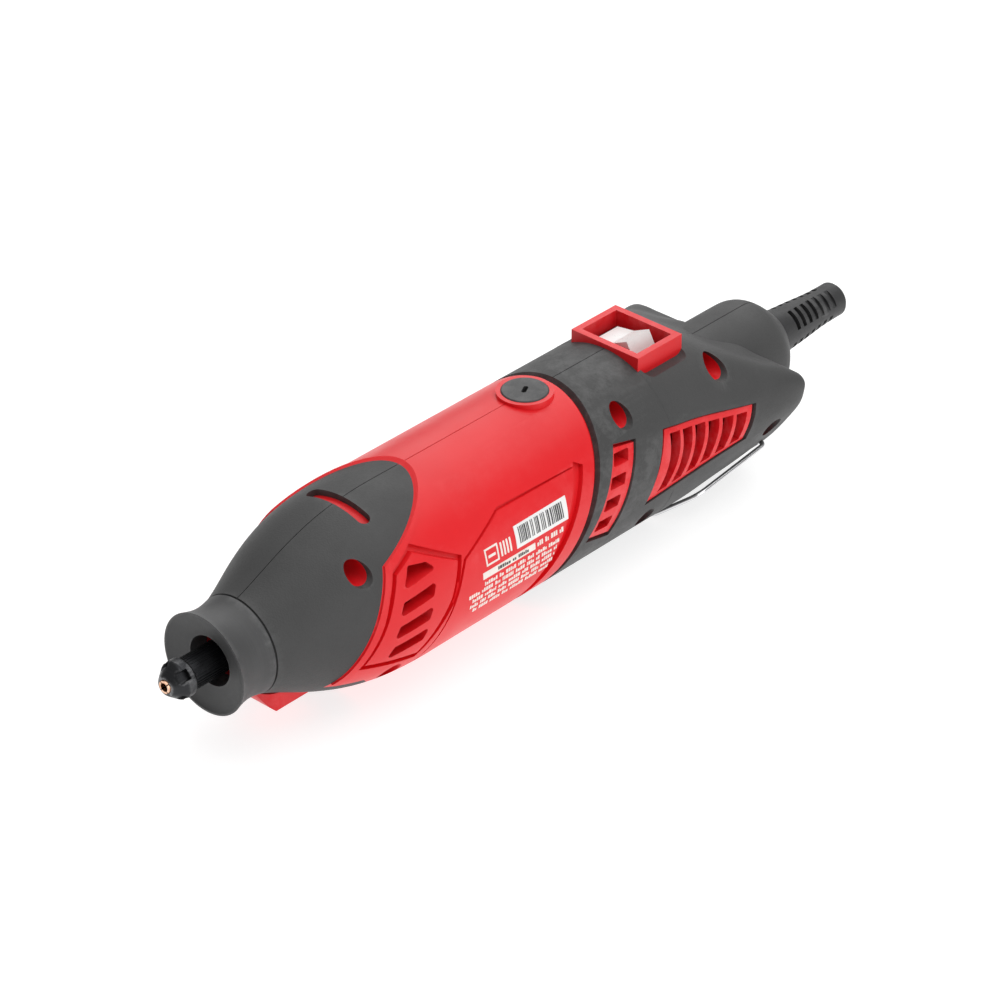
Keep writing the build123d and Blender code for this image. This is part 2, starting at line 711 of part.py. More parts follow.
# ---------------------------------------------------------------- field
def sector(radius_in, radius_out, middle_angle, half_angle):
    """A ring sector about the axis, as a flat sketch."""
    points = []
    for radius, signs in ((radius_out, (-1, 0, 1)), (radius_in, (1, 0, -1))):
        for sign in signs:
            angle = radians(middle_angle + sign * half_angle)
            points.append((radius * cos(angle), radius * sin(angle)))
    with BuildSketch() as shape:
        with BuildLine():
            ThreePointArc(points[0], points[1], points[2])
            Line(points[2], points[3])
            ThreePointArc(points[3], points[4], points[5])
            Line(points[5], points[0])
        make_face()
    return shape.sketch


with BuildPart() as field_stator:
    with BuildSketch(Plane.YZ.offset(core_x[0] - 1)):
        Circle(stator_radius)
        Circle(field_yoke_radius + 0.4, mode=Mode.SUBTRACT)
        for middle_angle in (90, 270):
            add(sector(stator_bore_radius, field_yoke_radius + 0.6, middle_angle, 50))
    extrude(amount=core_length + 2)
save(field_stator.part, "field_stator")

for middle_angle, label in ((90, "field_coil_upper"), (270, "field_coil_lower")):
    with BuildPart() as field_coil:
        for x in (core_x[0] - 5.2, core_x[1] + 1.2):
            with BuildSketch(Plane.YZ.offset(x)):
                add(sector(stator_bore_radius + 0.3, 19.8, middle_angle, 80))
            extrude(amount=4.0)
        with BuildSketch(Plane.YZ.offset(core_x[0] - 2)):
            for side in (-1, 1):
                add(sector(stator_bore_radius + 0.3, field_yoke_radius - 0.1, middle_angle + side * 66.5, 13.5))
        extrude(amount=core_length + 4)
    save(field_coil.part, label)

# ---------------------------------------------------------------- brushes, one set above and one below
for side, place in ((1, "top"), (-1, "bottom")):
    brush_plane = Plane(origin=(brush_x, 0, 0), x_dir=(1, 0, 0), z_dir=(0, 0, side))
    with BuildPart() as brush_holder:
        with BuildSketch(brush_plane.offset(9.6)):
            Circle(holder_radius)
            Rectangle(6.2, 5.2, mode=Mode.SUBTRACT)
        extrude(amount=cap_seat_z - 9.6)
    save(brush_holder.part, "brush_holder_" + place)
    with BuildPart() as brush:
        with BuildSketch(brush_plane.offset(commutator_radius + 0.1)):
            Rectangle(6.0, 5.0)
        extrude(amount=8.2)
        fillet(brush.edges().filter_by(Axis.Z), 0.3)
    save(brush.part, "brush_" + place)
    spring_start = commutator_radius + 0.1 + 8.2
    with BuildPart() as brush_spring:
        with BuildLine():
            coil = Helix(pitch=0.95, height=cap_seat_z - 0.3 - spring_start - 0.5, radius=1.9,
                         center=(brush_x, 0, side * (spring_start + 0.25)), direction=(0, 0, side))
        with BuildSketch(Plane(origin=coil @ 0, z_dir=coil % 0)):
            Circle(0.2)
        sweep(path=coil)
    save(brush_spring.part, "brush_spring_" + place)
    with BuildPart() as brush_cap:
        with BuildSketch(brush_plane.offset(cap_seat_z + 0.1)):
            Circle(cap_radius)
        extrude(amount=cap_top_z - cap_seat_z - 0.1)
        chamfer(brush_cap.edges().filter_by(GeomType.CIRCLE), 0.25)
        with BuildSketch(brush_plane.offset(cap_top_z - 1.6)):
            SlotOverall(3.4, 1.3, rotation=cap_slot_turn)
        extrude(amount=2, mode=Mode.SUBTRACT)
    save(brush_cap.part, "brush_cap_" + place)

# ---------------------------------------------------------------- spindle lock
with BuildPart() as lock_button:
    with BuildSketch(Plane.XZ.offset(-6.5)):
        with BuildLine():
            Spline((28.6, -15.3), (31.0, -20.0), (35.6, -22.9), (41.2, -23.3), (46.0, -21.4), (48.6, -17.4),
                   tangents=[(0.2, -1), (0.3, 1)])
            Polyline((48.6, -17.4), (48.6, -15.3), (28.6, -15.3))
        make_face()
    extrude(amount=13.0)
    add(button_block(0, (-30, -15.3)), mode=Mode.INTERSECT)
    button_round = cylinder_along(Plane(origin=(20, 0, -15.0), x_dir=(0, 1, 0), z_dir=(1, 0, 0)), 8.4, 40)
    add(button_round, mode=Mode.INTERSECT)
    with BuildSketch(Plane.XY.offset(-17.0)):
        with Locations((lock_x, 0)):
            Circle(lock_pin_radius)
    extrude(amount=17.0 - spindle_radius - 1.1)
save(lock_button.part, "spindle_lock_button")

with BuildPart() as lock_spring:
    with BuildLine():
        coil = Helix(pitch=0.95, height=4.6, radius=2.6, center=(lock_x, 0, -14.8))
    with BuildSketch(Plane(origin=coil @ 0, z_dir=coil % 0)):
        Circle(0.25)
    sweep(path=coil)
save(lock_spring.part, "spindle_lock_spring")

# ---------------------------------------------------------------- rocker switch
bezel_middle_x = (bezel_x[0] + bezel_x[1]) / 2
rocker_lean = radians(rocker_swing / 2)
tilt = Plane(
    origin=(bezel_middle_x - rocker_width / 2, 0, rocker_pivot_z),
    x_dir=(0, cos(rocker_lean), -sin(rocker_lean)),
    z_dir=(1, 0, 0),
)
with BuildPart() as rocker:
    with BuildSketch(tilt):
        with BuildLine():
            Polyline(
                (0, 4.5), (rocker_reach, 5.35), (rocker_foot, 0.8), (rocker_foot, -0.6), (2.2, -1.6),
                (-2.2, -1.6), (-rocker_foot, -0.6), (-rocker_foot, 0.8), (-rocker_reach, 5.35), close=True,
            )
        make_face()
    extrude(amount=rocker_width)
    with BuildSketch(Plane.YZ.offset(bezel_middle_x - rocker_width / 2 - 0.9)):
        with Locations((0, rocker_pivot_z)):
            Circle(1.2)
    extrude(amount=rocker_width + 1.8)
save(rocker.part, "rocker")

with BuildPart() as switch_body:
    add(cut_box((bezel_x[0] + 2.2, bezel_x[1] - 2.2), (-9.5, 9.5), (5.0, 22.6)))
    window = (bezel_middle_x - rocker_width / 2 - 0.25, bezel_middle_x + rocker_width / 2 + 0.25)
    add(cut_box(window, (-7.5, 7.5), (17.4, 24)), mode=Mode.SUBTRACT)
    with BuildSketch(Plane.YZ.offset(window[0] - 0.8)):
        with Locations((0, rocker_pivot_z)):
            Circle(1.2 + running_gap)
    extrude(amount=rocker_width + 2.1, mode=Mode.SUBTRACT)
save(switch_body.part, "switch_body")

with BuildPart() as switch_terminals:
    with BuildSketch(Plane.XY.offset(0.6)):
        with Locations((bezel_middle_x, 0)):
            with GridLocations(0, 5.4, 1, 3):
                Rectangle(4.8, 0.8)
    extrude(amount=4.4)
save(switch_terminals.part, "switch_terminals")

with BuildPart() as capacitor:
    add(cut_box((162.5, 176.5), (-8, 8), (-15.5, -6.5)))
    fillet(capacitor.edges().filter_by(Axis.X), 1.2)
save(capacitor.part, "suppression_capacitor")


def lead(points, radius, bend):
    """An insulated lead along straight runs with rounded corners."""
    with BuildPart() as wire:
        with BuildLine() as path:
            FilletPolyline(*points, radius=bend)
        with BuildSketch(Plane(origin=path.line @ 0, z_dir=path.line % 0)):
            Circle(radius)
        sweep(path=path.line)
    return wire.part


lead_radius = 0.9
supply_leads = []
field_leads = []
for side in (-1, 1):
    supply_leads.append(lead([(219.5, side * 1.6, 0), (196, side * 2.6, -0.1), (174.2, side * 5.4, -3.4),
                              (174.2, side * 5.4, 0.5)], lead_radius, 2.5))
    field_leads.append(lead([(170.4, side * 5.4, 0.5), (170.4, side * 5.4, -3.4), (158, side * 15, 0),
                             (138, side * 15, 0), (128, side * 16.6, side * 4.2), (121.4, side * 16.6, side * 4.4)],
                            lead_radius, 2.5))
save(Compound(children=supply_leads), "supply_leads")
save(Compound(children=field_leads), "field_leads")

# ---------------------------------------------------------------- cord exit
with BuildPart() as cord_clamp:
    add(cut_box((213.0, 219.0), (-8.6, 8.6), (3.05, 6.2)))
    add(cylinder_along(Plane.YZ.offset(212), 4.6, 8), mode=Mode.SUBTRACT)
    for y in (-6.2, 6.2):
        add(cylinder_along(Plane(origin=(216, y, 0), z_dir=(0, 0, 1)), 1.4, 10), mode=Mode.SUBTRACT)
save(cord_clamp.part, "cord_clamp")

clamp_screws = []
for y in (-6.2, 6.2):
    with BuildPart() as clamp_screw:
        add(cylinder_along(Plane(origin=(216, y, -5), z_dir=(0, 0, 1)), 1.25, 11.3))
        add(cylinder_along(Plane(origin=(216, y, 6.25), z_dir=(0, 0, 1)), 2.3, 1.5))
        add(cut_box((215.7, 216.3), (y - 2.4, y + 2.4), (7.1, 9)), mode=Mode.SUBTRACT)
    clamp_screws.append(clamp_screw.part)
save(Compound(children=clamp_screws), "cord_clamp_screws")

boot_bore_radius = 3.4
with BuildPart() as strain_relief:
    with BuildSketch(Plane.XZ):
        with BuildLine():
            Polyline((236.0, boot_bore_radius), (221.8, boot_bore_radius), (221.8, 9.4), (223.8, 9.4), (223.8, 7.1),
                     (233.2, 7.1))
            Spline((233.2, 7.1), (237.5, 6.55), (245.5, 5.95), (253.5, 5.3), (boot_end_x - 0.8, 5.1),
                   tangents=[(1, -0.15), (1, 0)])
            Polyline((boot_end_x - 0.8, 5.1), (boot_end_x, 4.5), (boot_end_x, boot_bore_radius),
                     (236.0, boot_bore_radius))
        make_face()
    revolve(axis=Axis.X)
    pitch = 2.9
    for quarter in range(4):
        angle = 45 + 90 * quarter
        first_x = 238.9 + (pitch / 2 if quarter % 2 else 0)
        row_plane = Plane(origin=(first_x + 3 * pitch, 0, 0), x_dir=(1, 0, 0),
                          z_dir=(0, cos(radians(angle)), sin(radians(angle))))
        with BuildSketch(row_plane.offset(4.3)):
            with GridLocations(pitch, 0, 7, 1):
                Rectangle(1.5, 6.0)
        extrude(amount=6, mode=Mode.SUBTRACT)
save(strain_relief.part, "strain_relief_boot")

# ---------------------------------------------------------------- hanging bail
pivot_x, pivot_z = bail_pivot
with BuildPart() as bail:
    with BuildLine() as path:
        half = [
            (pivot_x, -bail_half_width + 4.6, pivot_z),
            (pivot_x, -bail_half_width, pivot_z),
            (bail_reach_x + 8, -bail_half_width, -18.6),
            (bail_reach_x, -11.5, bail_end_z),
        ]
        far_half = [(x, -y, z) for x, y, z in reversed(half)]
        FilletPolyline(*half, *far_half, radius=[1.6, 7.0, 4.0, 4.0, 7.0, 1.6])
    with BuildSketch(Plane(origin=path.line @ 0, z_dir=path.line % 0)):
        Circle(bail_wire_radius)
    sweep(path=path.line)
save(bail.part, "hanger_bail")

# ---------------------------------------------------------------- fasteners and sticker
housing_screws = []
for x, z in screw_spots:
    with BuildPart() as screw:
        add(screw_column(x, z, screw_radius - 0.05, screw_seat_y - 0.1, 12.0))
        add(screw_column(x, z, 2.5, screw_seat_y - 2.3, screw_seat_y - 0.05))
        with BuildSketch(across(x, z, screw_seat_y - 2.4)):
            Rectangle(3.0, 0.7)
            Rectangle(0.7, 3.0)
        extrude(amount=1.3, mode=Mode.SUBTRACT)
    housing_screws.append(screw.part)
save(Compound(children=housing_screws), "housing_screws")

label_corners = [(100.1, 3.9), (119.8, 3.9), (120.2, 10.1), (100.2, 9.9)]
save((barrel_form(-0.12) - barrel_form(0)) & side_prism(label_corners, -REACH, -5), "rating_label")
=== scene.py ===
import json
import random
from math import sqrt

import bpy
from mathutils import Matrix, Vector


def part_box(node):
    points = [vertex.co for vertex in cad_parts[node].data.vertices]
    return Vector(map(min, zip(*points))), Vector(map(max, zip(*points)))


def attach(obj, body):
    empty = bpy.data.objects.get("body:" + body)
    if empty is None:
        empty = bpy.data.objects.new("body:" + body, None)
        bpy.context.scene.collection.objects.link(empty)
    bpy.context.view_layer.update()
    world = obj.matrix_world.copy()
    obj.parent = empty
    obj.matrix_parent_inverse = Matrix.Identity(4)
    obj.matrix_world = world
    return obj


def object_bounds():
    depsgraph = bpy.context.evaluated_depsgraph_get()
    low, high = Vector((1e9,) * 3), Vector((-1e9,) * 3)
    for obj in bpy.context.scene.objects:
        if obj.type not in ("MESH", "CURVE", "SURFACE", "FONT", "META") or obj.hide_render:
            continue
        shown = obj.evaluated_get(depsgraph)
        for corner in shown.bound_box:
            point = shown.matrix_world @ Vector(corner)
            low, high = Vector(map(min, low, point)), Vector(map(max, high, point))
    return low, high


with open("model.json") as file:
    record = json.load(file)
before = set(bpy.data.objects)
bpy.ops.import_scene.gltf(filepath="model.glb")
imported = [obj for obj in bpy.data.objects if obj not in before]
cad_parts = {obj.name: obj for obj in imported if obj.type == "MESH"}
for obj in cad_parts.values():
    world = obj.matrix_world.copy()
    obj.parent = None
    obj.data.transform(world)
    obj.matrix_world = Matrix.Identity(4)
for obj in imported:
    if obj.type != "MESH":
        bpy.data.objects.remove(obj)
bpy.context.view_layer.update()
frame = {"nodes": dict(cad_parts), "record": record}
nodes = frame["nodes"]

# ---------------------------------------------------------------- camera
CAMERA_PLACE = Vector((-0.5385, -0.6028, 0.5602))
CAMERA_RIGHT = Vector((0.6741, -0.7386, 0.0))
CAMERA_UP = Vector((0.3934, 0.3590, 0.8464))


def make_camera():
    """A long lens at the height and side from which the tool is seen nose first."""
    data = bpy.data.cameras.new("camera")
    data.lens = 144.0
    data.sensor_width = 36.0
    data.clip_start = 0.05
    camera = bpy.data.objects.new("camera", data)
    bpy.context.scene.collection.objects.link(camera)
    right = CAMERA_RIGHT.normalized()
    back = right.cross(CAMERA_UP).normalized()
    up = back.cross(right)
    turn = Matrix((right, up, back)).transposed().to_4x4()
    camera.matrix_world = Matrix.Translation(CAMERA_PLACE) @ turn
    bpy.context.scene.camera = camera


# ---------------------------------------------------------------- light and floor
FLOOR_HALF_SIZE = 4


def area_light(name, place, target, size, power):
    """One soft panel, aimed at a point."""
    data = bpy.data.lights.new(name, "AREA")
    data.size = size
    data.energy = power
    lamp = bpy.data.objects.new(name, data)
    bpy.context.scene.collection.objects.link(lamp)
    lamp.location = place
    aim = Vector(target) - Vector(place)
    lamp.rotation_euler = aim.to_track_quat("-Z", "Y").to_euler()


def make_studio():
    """Soft panels over a plain pale floor, in an even white room."""
    middle = (0.13, 0, 0)
    area_light("key", (0.35, -0.15, 1.15), middle, 1.5, 11)
    area_light("side", (0.15, -1.25, 0.40), middle, 0.8, 4.0)
    area_light("back", (0.9, 0.6, 0.7), middle, 0.9, 4.5)
    world = bpy.data.worlds.new("studio")
    bpy.context.scene.world = world
    world.use_nodes = True
    sky = world.node_tree.nodes["Background"]
    sky.inputs[0].default_value = (1, 1, 1, 1)
    sky.inputs[1].default_value = 0.34
    bpy.context.scene.view_settings.view_transform = "Standard"


def make_floor():
    """The plain floor that the tool lies on."""
    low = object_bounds()[0][2]
    half = FLOOR_HALF_SIZE
    corners = [(-half, -half, low), (half, -half, low), (half, half, low), (-half, half, low)]
    mesh = bpy.data.meshes.new("floor")
    mesh.from_pydata(corners, [], [(0, 1, 2, 3)])
    floor = bpy.data.objects.new("floor", mesh)
    bpy.context.scene.collection.objects.link(floor)
    paper = surface(
        "floor_paper", (0.42, 0.42, 0.42), rough=(0.75, 0.85), tint=0.01, grain=(300, 0.02), glow=0.76,
    )
    floor.data.materials.append(paper)


# ---------------------------------------------------------------- materials
def surface(
    name, colour, metal=0.0, rough=(0.4, 0.5), tint=0.05, tint_size=45, grain=(2500, 0.15),
    grain_form="noise",
    lines=None, wear=None, bump_distance=0.0002, specular=0.5, glow=0.0, speck=None,
):
    """One procedural finish.

    rough and tint vary slowly over the piece. grain is the fine surface texture, as (size per metre,
    strength). lines is turning, brushing or layering, as (axis, size per metre, strength, colour
    change). wear is the lighter colour of rubbed edges, and its amount. speck is dust and scuffs, as
    (colour, amount).
    """
    material = bpy.data.materials.new(name)
    material.use_nodes = True
    tree = material.node_tree
    shader = tree.nodes["Principled BSDF"]
    shader.inputs["Metallic"].default_value = metal
    shader.inputs["Specular IOR Level"].default_value = specular
    shader.inputs["Emission Color"].default_value = (1, 1, 1, 1)
    shader.inputs["Emission Strength"].default_value = glow
    place = tree.nodes.new("ShaderNodeTexCoord").outputs["Object"]

    def noise(size, detail=3.0, roughness=0.55, distortion=0.0, source=None):
        node = tree.nodes.new("ShaderNodeTexNoise")
        node.inputs["Scale"].default_value = size
        node.inputs["Detail"].default_value = detail
        node.inputs["Roughness"].default_value = roughness
        node.inputs["Distortion"].default_value = distortion
        tree.links.new(source or place, node.inputs["Vector"])
        return node.outputs["Fac"]

    def spread(value, low, high, from_low=0.3, from_high=0.7):
        node = tree.nodes.new("ShaderNodeMapRange")
        node.inputs["From Min"].default_value = from_low
        node.inputs["From Max"].default_value = from_high
        node.inputs["To Min"].default_value = low
        node.inputs["To Max"].default_value = high
        tree.links.new(value, node.inputs["Value"])
        return node.outputs["Result"]

    def blend(factor, first, second, mode="MIX"):
        node = tree.nodes.new("ShaderNodeMix")
        node.data_type = "RGBA"
        node.blend_type = mode
        for socket, value in ((node.inputs[0], factor), (node.inputs[6], first), (node.inputs[7], second)):
            if isinstance(value, bpy.types.NodeSocket):
                tree.links.new(value, socket)
            elif isinstance(value, float):
                socket.default_value = value
            else:
                socket.default_value = (*value, 1)
        return node.outputs[2]

    dark = tuple(c * (1 - tint) for c in colour)
    light = tuple(min(1.0, c * (1 + tint) + 0.05 * tint) for c in colour)
    slow = noise(tint_size, 4.0, 0.6)
    shade = blend(spread(slow, 0, 1), dark, light)
    fine = noise(grain[0] * 0.35, 2.0, 0.5)
    shade = blend(spread(fine, 0, 0.25), shade, light)

    if grain_form == "pebble":
        node = tree.nodes.new("ShaderNodeTexVoronoi")
        node.feature = "SMOOTH_F1"
        node.inputs["Scale"].default_value = grain[0]
        tree.links.new(place, node.inputs["Vector"])
        height = node.outputs["Distance"]
    else:
        height = noise(grain[0], 4.0, 0.6)
    bump = tree.nodes.new("ShaderNodeBump")
    bump.inputs["Strength"].default_value = grain[1]
    bump.inputs["Distance"].default_value = bump_distance
    tree.links.new(height, bump.inputs["Height"])
    normal = bump.outputs["Normal"]

    if lines:
        axis, size, strength, change = lines
        squeeze = tree.nodes.new("ShaderNodeMapping")
        squeeze.inputs["Scale"].default_value = tuple(1.0 if i == axis else 0.02 for i in range(3))
        tree.links.new(place, squeeze.inputs["Vector"])
        streak = noise(size, 3.0, 0.7, 0.0, squeeze.outputs["Vector"])
        second = tree.nodes.new("ShaderNodeBump")
        second.inputs["Strength"].default_value = strength
        second.inputs["Distance"].default_value = bump_distance
        tree.links.new(streak, second.inputs["Height"])
        tree.links.new(normal, second.inputs["Normal"])
        normal = second.outputs["Normal"]
        shade = blend(spread(streak, 0, change), shade, tuple(c * 0.45 for c in colour))

    if wear:
        worn, amount = wear
        edge = tree.nodes.new("ShaderNodeNewGeometry").outputs["Pointiness"]
        rubbed = tree.nodes.new("ShaderNodeMath")
        rubbed.operation = "MULTIPLY"
        tree.links.new(spread(edge, 0, amount, 0.52, 0.62), rubbed.inputs[0])
        tree.links.new(spread(noise(260, 5.0, 0.7), 0, 1, 0.42, 0.62), rubbed.inputs[1])
        shade = blend(rubbed.outputs["Value"], shade, worn)

    if speck:
        dust, amount = speck
        shade = blend(spread(noise(900, 5.0, 0.75, 0.5), 0, amount, 0.60, 0.74), shade, dust)

    roughness = tree.nodes.new("ShaderNodeMath")
    roughness.operation = "ADD"
    middle = (rough[0] + rough[1]) / 2
    reach = (rough[1] - rough[0]) / 2
    patches = noise(tint_size * 2.3, 5.0, 0.65)
    tree.links.new(spread(patches, middle - reach, middle + reach), roughness.inputs[0])
    tree.links.new(spread(height, -0.03, 0.03), roughness.inputs[1])
    tree.links.new(roughness.outputs["Value"], shader.inputs["Roughness"])
    tree.links.new(shade, shader.inputs["Base Color"])
    tree.links.new(normal, shader.inputs["Normal"])
    return material


def grip_material():
    """Soft-touch grip: near-black grey with a fine moulded grain, faintly dusty."""
    return surface(
        "grip", (0.050, 0.050, 0.050), rough=(0.54, 0.66), tint=0.07, tint_size=38, grain=(2300, 0.30),
        grain_form="pebble", wear=((0.13, 0.13, 0.13), 0.4), bump_distance=0.00012, specular=0.40,
        speck=((0.10, 0.10, 0.10), 0.12),
    )


def make_materials():
    """Every finish, by the name of the record's material slot."""
    steel = (0.58, 0.58, 0.59)
    return {
        "red_shell": surface(
            "red_shell", (0.74, 0.008, 0.013), rough=(0.32, 0.42), tint=0.04, tint_size=30,
            grain=(3200, 0.10),
            wear=((0.84, 0.10, 0.11), 0.4), bump_distance=0.00008, specular=0.38,
            speck=((0.78, 0.05, 0.06), 0.10),
        ),
        "dark_grip": grip_material(),
        "dark_collar": surface(
            "dark_collar", (0.048, 0.048, 0.049), rough=(0.48, 0.60), tint=0.08, grain=(3600, 0.14),
            lines=(0, 2400, 0.10, 0.20), wear=((0.17, 0.17, 0.17), 0.5), bump_distance=0.0001,
            speck=((0.15, 0.15, 0.15), 0.15),
        ),
        "black_steel": surface(
            "black_steel", (0.030, 0.031, 0.034), metal=0.85, rough=(0.26, 0.42), tint=0.18, tint_size=240,
            grain=(5200, 0.12), lines=(0, 5200, 0.16, 0.3), wear=((0.42, 0.42, 0.43), 0.8),
            bump_distance=0.00006,
        ),
        "collet_brass": surface(
            "collet_brass", (0.80, 0.46, 0.30), metal=1.0, rough=(0.20, 0.34), tint=0.10, tint_size=420,
            grain=(6400, 0.10), lines=(0, 7000, 0.12, 0.25), wear=((0.92, 0.72, 0.56), 0.5),
            bump_distance=0.00005,
        ),
        "bright_steel": surface(
            "bright_steel", steel, metal=1.0, rough=(0.16, 0.28), tint=0.05, tint_size=160,
            grain=(5200, 0.06),
            lines=(0, 6000, 0.10, 0.15), wear=((0.80, 0.80, 0.80), 0.3), bump_distance=0.00005,
        ),
        "spring_steel": surface(
            "spring_steel", (0.74, 0.74, 0.75), metal=1.0, rough=(0.10, 0.20), tint=0.04, tint_size=260,
            grain=(4200, 0.05), wear=((0.86, 0.86, 0.86), 0.3), bump_distance=0.00004,
        ),
        "lamination_steel": surface(
            "lamination_steel", (0.24, 0.24, 0.25), metal=0.9, rough=(0.38, 0.55), tint=0.12, tint_size=120,
            grain=(3000, 0.10), lines=(0, 9000, 0.6, 0.55), wear=((0.5, 0.5, 0.5), 0.3),
            bump_distance=0.00012,
        ),
        "enamel_copper": surface(
            "enamel_copper", (0.50, 0.17, 0.05), metal=0.7, rough=(0.25, 0.42), tint=0.20, tint_size=140,
            grain=(1500, 0.30), lines=(0, 8200, 0.7, 0.6), wear=((0.80, 0.42, 0.24), 0.4),
            bump_distance=0.0002,
        ),
        "copper": surface(
            "copper", (0.78, 0.38, 0.24), metal=1.0, rough=(0.22, 0.36), tint=0.12, tint_size=200,
            grain=(4200, 0.10), lines=(0, 5000, 0.30, 0.35), wear=((0.92, 0.66, 0.52), 0.4),
            bump_distance=0.00006,
        ),
        "fan_plastic": surface(
            "fan_plastic", (0.09, 0.09, 0.10), rough=(0.42, 0.56), tint=0.10, grain=(2600, 0.12),
            wear=((0.24, 0.24, 0.24), 0.4), bump_distance=0.0001, speck=((0.26, 0.24, 0.22), 0.3),
        ),
        "coupling_rubber": surface(
            "coupling_rubber", (0.020, 0.020, 0.021), rough=(0.60, 0.78), tint=0.15, grain=(2400, 0.25),
            grain_form="pebble", bump_distance=0.0001, specular=0.35, speck=((0.07, 0.07, 0.07), 0.25),
        ),
        "carbon": surface(
            "carbon", (0.045, 0.045, 0.047), metal=0.2, rough=(0.45, 0.62), tint=0.15, tint_size=300,
            grain=(5200, 0.30), wear=((0.20, 0.20, 0.20), 0.5), bump_distance=0.0001,
        ),
        "brass": surface(
            "brass", (0.76, 0.56, 0.24), metal=1.0, rough=(0.22, 0.36), tint=0.10, tint_size=180,
            grain=(4200, 0.10), lines=(2, 4800, 0.15, 0.2), wear=((0.90, 0.80, 0.56), 0.4),
            bump_distance=0.00006,
        ),
        "black_plastic": surface(
            "black_plastic", (0.028, 0.028, 0.030), rough=(0.40, 0.55), tint=0.15, grain=(3000, 0.15),
            wear=((0.12, 0.12, 0.12), 0.4), bump_distance=0.0001, speck=((0.08, 0.08, 0.08), 0.2),
        ),
        "white_plastic": surface(
            "white_plastic", (0.88, 0.88, 0.87), rough=(0.26, 0.36), tint=0.03, tint_size=110,
            grain=(3600, 0.06),
            wear=((0.66, 0.65, 0.63), 0.4), bump_distance=0.00006, speck=((0.62, 0.61, 0.59), 0.12),
        ),
        "yellow_plastic": surface(
            "yellow_plastic", (0.72, 0.52, 0.07), rough=(0.35, 0.48), tint=0.06, grain=(2600, 0.10),
            wear=((0.85, 0.70, 0.30), 0.4), bump_distance=0.0001,
        ),
        "blue_insulation": surface(
            "blue_insulation", (0.03, 0.10, 0.42), rough=(0.38, 0.50), tint=0.08, grain=(2600, 0.12),
            bump_distance=0.0001, speck=((0.12, 0.2, 0.5), 0.2),
        ),
        "brown_insulation": surface(
            "brown_insulation", (0.16, 0.06, 0.025), rough=(0.38, 0.50), tint=0.08, grain=(2600, 0.12),
            bump_distance=0.0001, speck=((0.26, 0.15, 0.1), 0.2),
        ),
        "boot_rubber": surface(
            "boot_rubber", (0.024, 0.024, 0.025), rough=(0.46, 0.60), tint=0.12, tint_size=60,
            grain=(2600, 0.20),
            grain_form="pebble", wear=((0.13, 0.13, 0.13), 0.4), bump_distance=0.0001, specular=0.45,
            speck=((0.10, 0.10, 0.10), 0.12),
        ),
        "zinc_screw": surface(
            "zinc_screw", (0.50, 0.51, 0.53), metal=1.0, rough=(0.26, 0.42), tint=0.12, tint_size=500,
            grain=(5200, 0.15), wear=((0.75, 0.75, 0.75), 0.5), bump_distance=0.00006,
        ),
        "sticker": surface(
            "sticker", (0.86, 0.86, 0.85), rough=(0.30, 0.42), tint=0.02, tint_size=160, grain=(2600, 0.05),
            bump_distance=0.00004, speck=((0.72, 0.72, 0.70), 0.15),
        ),
    }


def dress_nodes(materials):
    """Gives every CAD node the finish of its slot."""
    for part in frame["record"]["subparts"]:
        node = nodes.get(part["node"])
        if node is None:
            continue
        finish = materials[part["material_slot"]]
        if not node.data.materials:
            node.data.materials.append(finish)
        for i in range(len(node.data.materials)):
            node.data.materials[i] = finish


# ---------------------------------------------------------------- printing on the left side of the barrel
PRINT_THICKNESS = 0.00009
PRINT_LIFT = 0.00003            # a print's middle, above the surface it is on
PATCH_STEP = 0.0008             # along Z, between the cross lines that bend a patch round the barrel
BLOCK_WIDTHS = (0.00035, 0.0008)
BLOCK_GAP = 0.00022
BLOCKS_IN_WORD = (2, 6)
WORD_GAP = 0.0007
SHORTEST_WORD = 0.0006
FRAME_LINE = 0.0005
BAR_WIDTHS = (0.00022, 0.0003, 0.00046)
BAR_GAPS = (0.00026, 0.00036, 0.00056, 0.0008)
STICKER_THICKNESS = 0.00012
TEXT_LINES = (                  # start and end of each row, from the mark's left edge
    (-0.0010, 0.0280),
    (-0.0068, 0.0268),
    (-0.0054, 0.0262),
    (-0.0060, 0.0256),
    (-0.0046, 0.0248),
)


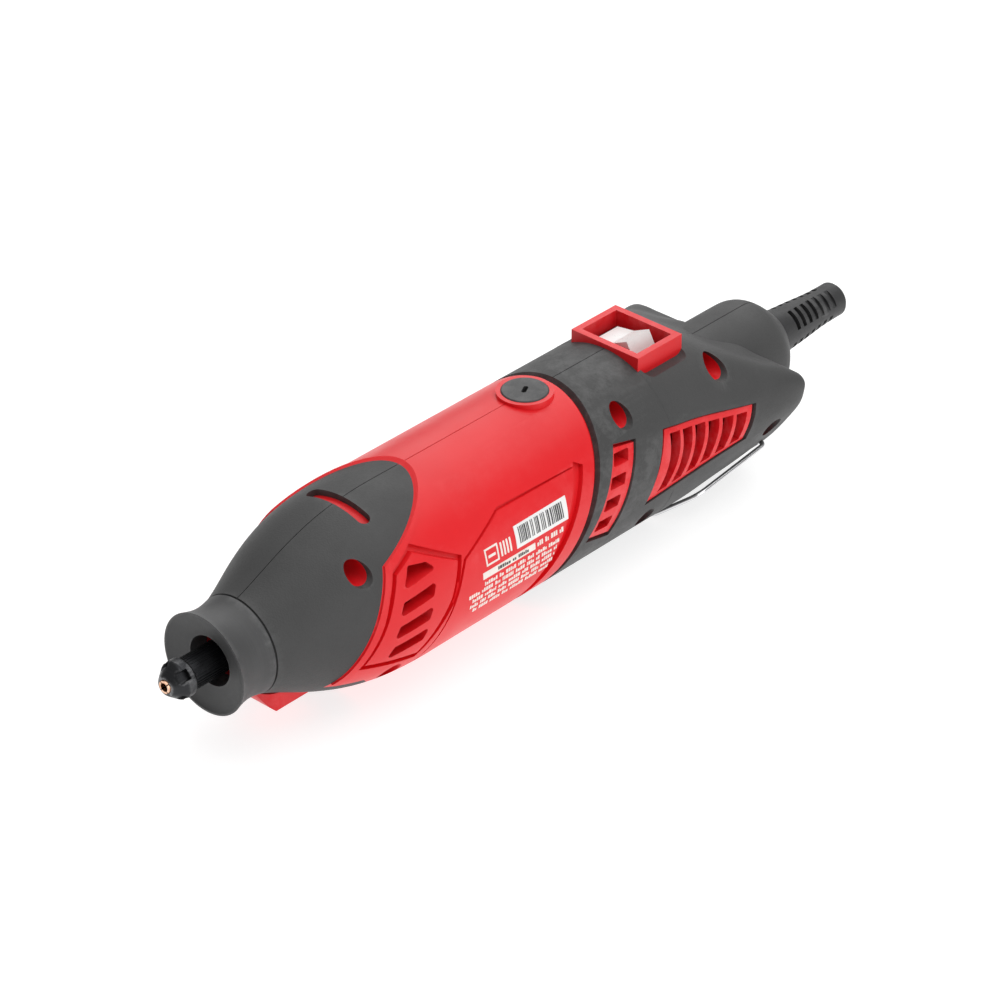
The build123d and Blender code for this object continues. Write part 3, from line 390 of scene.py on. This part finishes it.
class Print:
    """Thin printed patches on a cylinder about the X axis, on its -Y side, gathered in one mesh."""

    def __init__(self, name, radius, material, slot_name):
        self.name = name
        self.radius = radius
        self.material = material
        self.slot_name = slot_name
        self.points = []
        self.faces = []

    def patch(self, x0, x1, z0, z1):
        """A closed patch between two places along X and two heights."""
        steps = max(1, int((z1 - z0) / PATCH_STEP))
        first = len(self.points)
        for i in range(steps + 1):
            z = z0 + (z1 - z0) * i / steps
            y = -sqrt(self.radius ** 2 - z ** 2)
            out = 1 + PRINT_THICKNESS / 2 / self.radius
            inward = 1 - PRINT_THICKNESS / 2 / self.radius
            for x, reach in ((x0, out), (x1, out), (x1, inward), (x0, inward)):
                self.points.append((x, y * reach, z * reach))
        for i in range(steps):
            a = first + 4 * i
            for j in range(4):
                k = (j + 1) % 4
                self.faces.append((a + j, a + k, a + 4 + k, a + 4 + j))
        self.faces.append((first + 3, first + 2, first + 1, first))
        last = first + 4 * steps
        self.faces.append((last, last + 1, last + 2, last + 3))

    def frame(self, x0, x1, z0, z1, width):
        """A square outline."""
        self.patch(x0, x1, z0, z0 + width)
        self.patch(x0, x1, z1 - width, z1)
        self.patch(x0, x0 + width, z0 + width, z1 - width)
        self.patch(x1 - width, x1, z0 + width, z1 - width)

    def words(self, seed, x0, x1, z, height):
        """A row of short blocks of uneven length, which say nothing."""
        dice = random.Random(seed)
        x = x0
        while x < x1 - SHORTEST_WORD:
            for _ in range(dice.randint(*BLOCKS_IN_WORD)):
                wide = dice.uniform(*BLOCK_WIDTHS)
                if x + wide > x1:
                    break
                rise = dice.choice((0.7, 1.0, 1.0)) * height
                self.patch(x, x + wide, z, z + rise)
                x += wide + BLOCK_GAP
            x += WORD_GAP

    def build(self):
        """Makes the mesh, which rides on the housing."""
        mesh = bpy.data.meshes.new(self.name)
        mesh.from_pydata(self.points, [], self.faces)
        mesh.validate()
        piece = bpy.data.objects.new(self.name, mesh)
        bpy.context.scene.collection.objects.link(piece)
        mesh.materials.append(self.material)
        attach(piece, "housing")


def make_print():
    """The pale printing on the label panel, and the dark bars on the sticker."""
    low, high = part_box("rating_label")
    outer = sqrt(low[1] ** 2 + low[2] ** 2)
    pale = surface(
        "print_ink", (0.88, 0.80, 0.74), rough=(0.38, 0.48), tint=0.06, tint_size=400, grain=(2600, 0.05),
        bump_distance=0.00003, speck=((0.80, 0.25, 0.22), 0.6),
    )
    shell_radius = outer - STICKER_THICKNESS
    ink = Print("panel_print", shell_radius + PRINT_LIFT, pale, "sticker")
    left = low[0] - 0.0115
    base = low[2]
    ink.frame(left, left + 0.0049, base, base + 0.0046, FRAME_LINE)
    ink.patch(left + 0.0011, left + 0.0038, base + 0.0019, base + 0.0026)
    for i in range(4):
        start = left + 0.0057 + 0.00115 * i
        ink.patch(start, start + 0.0006, base + 0.0004, base + 0.0042)
    ink.patch(left - 0.0016, left + 0.0182, base - 0.0031, base - 0.0012)
    ink.words(3, left + 0.0190, left + 0.0292, base - 0.0027, 0.0014)
    for i, (start, end) in enumerate(TEXT_LINES):
        ink.words(10 + i, left + start, left + end, base - 0.0051 - 0.0017 * i, 0.0011)
    ink.build()

    black = surface(
        "bar_ink", (0.035, 0.035, 0.038), rough=(0.40, 0.52), tint=0.2, tint_size=500, grain=(2600, 0.05),
        bump_distance=0.00003, speck=((0.35, 0.35, 0.35), 0.4),
    )
    bars = Print("sticker_bars", outer + PRINT_LIFT, black, "black_plastic")
    dice = random.Random(7)
    x = low[0] + 0.0014
    while x < high[0] - 0.0018:
        wide = dice.choice(BAR_WIDTHS)
        bars.patch(x, x + wide, base + 0.0010, high[2] - 0.0008)
        x += wide + dice.choice(BAR_GAPS)
    bars.build()
    strip = Print("strip_print", shell_radius + 0.0001, black, "black_plastic")
    strip.words(5, left + 0.0040, left + 0.0165, base - 0.0026, 0.0009)
    strip.build()


make_camera()
make_studio()
finishes = make_materials()
dress_nodes(finishes)
make_print()
make_floor()
